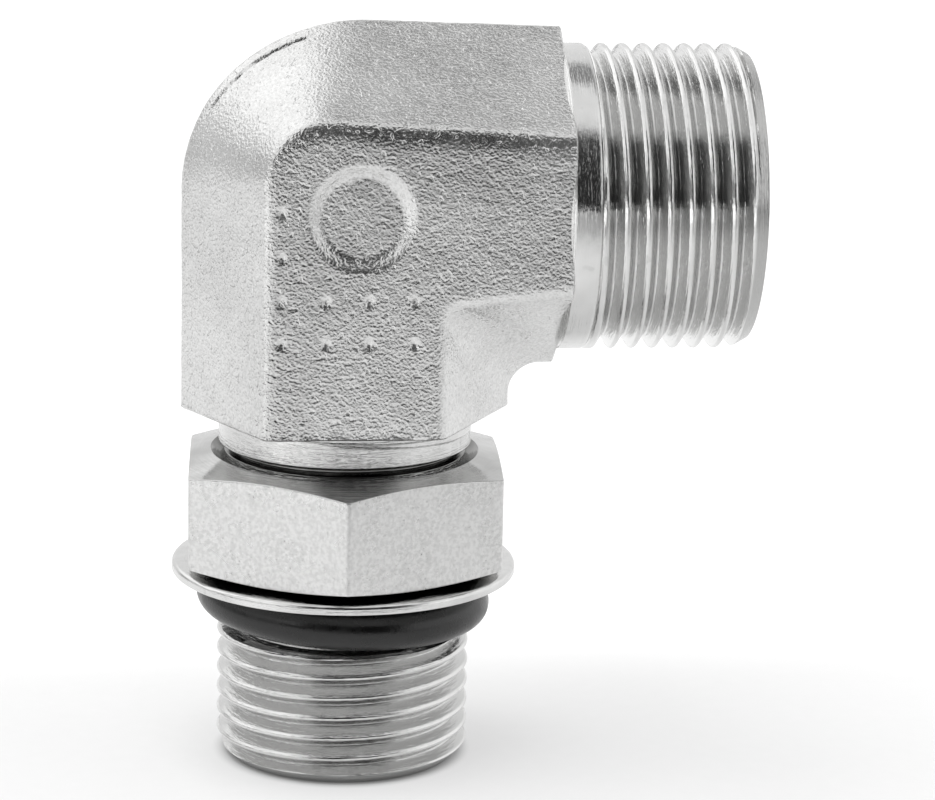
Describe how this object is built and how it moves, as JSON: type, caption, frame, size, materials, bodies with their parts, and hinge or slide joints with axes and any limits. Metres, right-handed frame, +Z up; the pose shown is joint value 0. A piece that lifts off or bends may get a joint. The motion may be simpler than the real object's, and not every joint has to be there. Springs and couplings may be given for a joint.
{
  "type": "ninety degree hydraulic hose fitting",
  "caption": "Adjustable ninety degree hydraulic elbow adapter, forged steel with a threaded stud, lock nut, backup washer, sealing ring and larger threaded arm.",
  "frame": {"origin": "centre of the stud's end face, where its passage opens", "axes": "+Z up the stud's axis, +X along the arm towards its open end, Y across the forging's parting plane"},
  "size_m": [0.0495, 0.0312, 0.0649],
  "materials": {
    "forged_zinc": "satin",
    "turned_zinc": "polished",
    "rubber": "satin"
  },
  "bodies": {
    "elbow": {"elbow_body": "forged_zinc", "sealing_ring": "rubber"},
    "washer": {"backup_washer": "turned_zinc"},
    "nut": {"lock_nut": "turned_zinc"}
  },
  "joints": [
    {"name": "washer_slide", "type": "slide", "parent": "elbow", "child": "washer", "axis": [0, 0, 1], "range_m": [0, 0.0017]},
    {"name": "nut_turn", "type": "hinge", "parent": "washer", "child": "nut", "pos_m": [0, 0, 0.0224], "axis": [0, 0, 1], "range_deg": [0, 337]}
  ],
  "couplings": [
    {"joint": "washer_slide", "follows": "nut_turn", "m_per_rad": 0.00028875}
  ]
}
